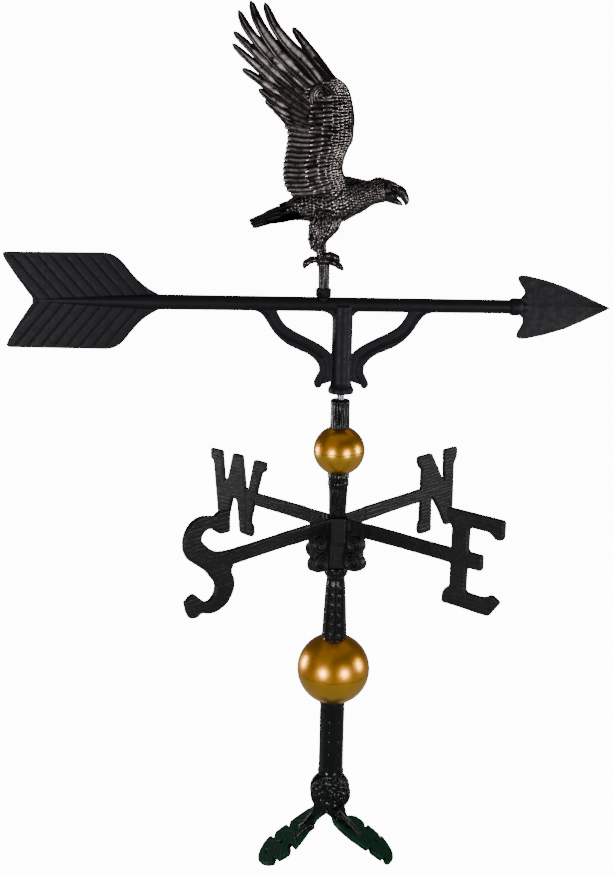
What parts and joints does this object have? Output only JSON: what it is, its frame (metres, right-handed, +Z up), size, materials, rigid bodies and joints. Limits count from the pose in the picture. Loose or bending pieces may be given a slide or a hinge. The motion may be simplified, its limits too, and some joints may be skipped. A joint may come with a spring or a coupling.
{
  "type": "weather vane",
  "caption": "Roof weather vane: a cast eagle over a feathered arrow that turns on a rod, lettered compass arms, hollow gold balls, and a mast hinged to leaf-shaped ridge feet.",
  "frame": {"origin": "the apex of the roof ridge, straight under the mast, where the planes of the two feet's soles meet", "axes": "+Z up along the mast, +X along the arrow from tail to point at rest, +Y towards the back, so the east arm lies between +X and -Y"},
  "size_m": [0.813, 0.4094, 1.2246],
  "materials": {
    "cast_black": "satin black powder coat over cast aluminium, lightly grained",
    "arrow_black": "satin black powder coat over cast aluminium, smooth",
    "column_black": "semi-gloss black paint over cast aluminium with raised studs and bark texture",
    "eagle_bronze": "glossy dark bronze-black lacquer over cast feathers, highlights on the raised edges",
    "gold": "satin gold paint over spun aluminium",
    "black_steel": "black oxide steel fasteners",
    "bare_steel": "turned zinc-plated steel",
    "bush_brass": "turned brass bearing bush"
  },
  "bodies": {
    "mast": {"base_column": "column_black", "lower_ball_bottom": "gold", "lower_ball_top": "gold", "middle_column": "column_black", "lower_sleeve": "column_black", "upper_ball_bottom": "gold", "upper_ball_top": "gold", "upper_sleeve": "column_black", "spindle_rod": "bare_steel", "bearing_ball": "bare_steel"},
    "directionals": {"ns_bar": "cast_black", "ew_bar": "cast_black", "hub_set_screws": "black_steel"},
    "vane": {"spindle_bush": "bush_brass", "arrow_casting": "arrow_black", "arrowhead_stud": "bare_steel", "arrowhead": "arrow_black", "stem_nut": "eagle_bronze", "eagle_stem": "eagle_bronze", "eagle_body": "eagle_bronze", "near_wing": "eagle_bronze", "far_wing": "eagle_bronze"},
    "right_foot": {"right_leg": "cast_black", "pivot_bolt": "black_steel"},
    "left_foot": {"left_leg": "cast_black", "pivot_washer": "black_steel"}
  },
  "joints": [
    {"name": "vane_spin", "type": "hinge", "parent": "mast", "child": "vane", "pos_m": [0, 0, 0.7641], "axis": [0, 0, 1], "continuous": true},
    {"name": "directionals_turn", "type": "hinge", "parent": "mast", "child": "directionals", "pos_m": [0, 0, 0.43], "axis": [0, 0, 1], "continuous": true},
    {"name": "right_foot_pivot", "type": "hinge", "parent": "mast", "child": "right_foot", "pos_m": [0, 0, 0.0386], "axis": [0, 1, 0], "range_deg": [-38, 17]},
    {"name": "left_foot_pivot", "type": "hinge", "parent": "mast", "child": "left_foot", "pos_m": [0, 0, 0.0386], "axis": [0, -1, 0], "range_deg": [-38, 17]}
  ]
}
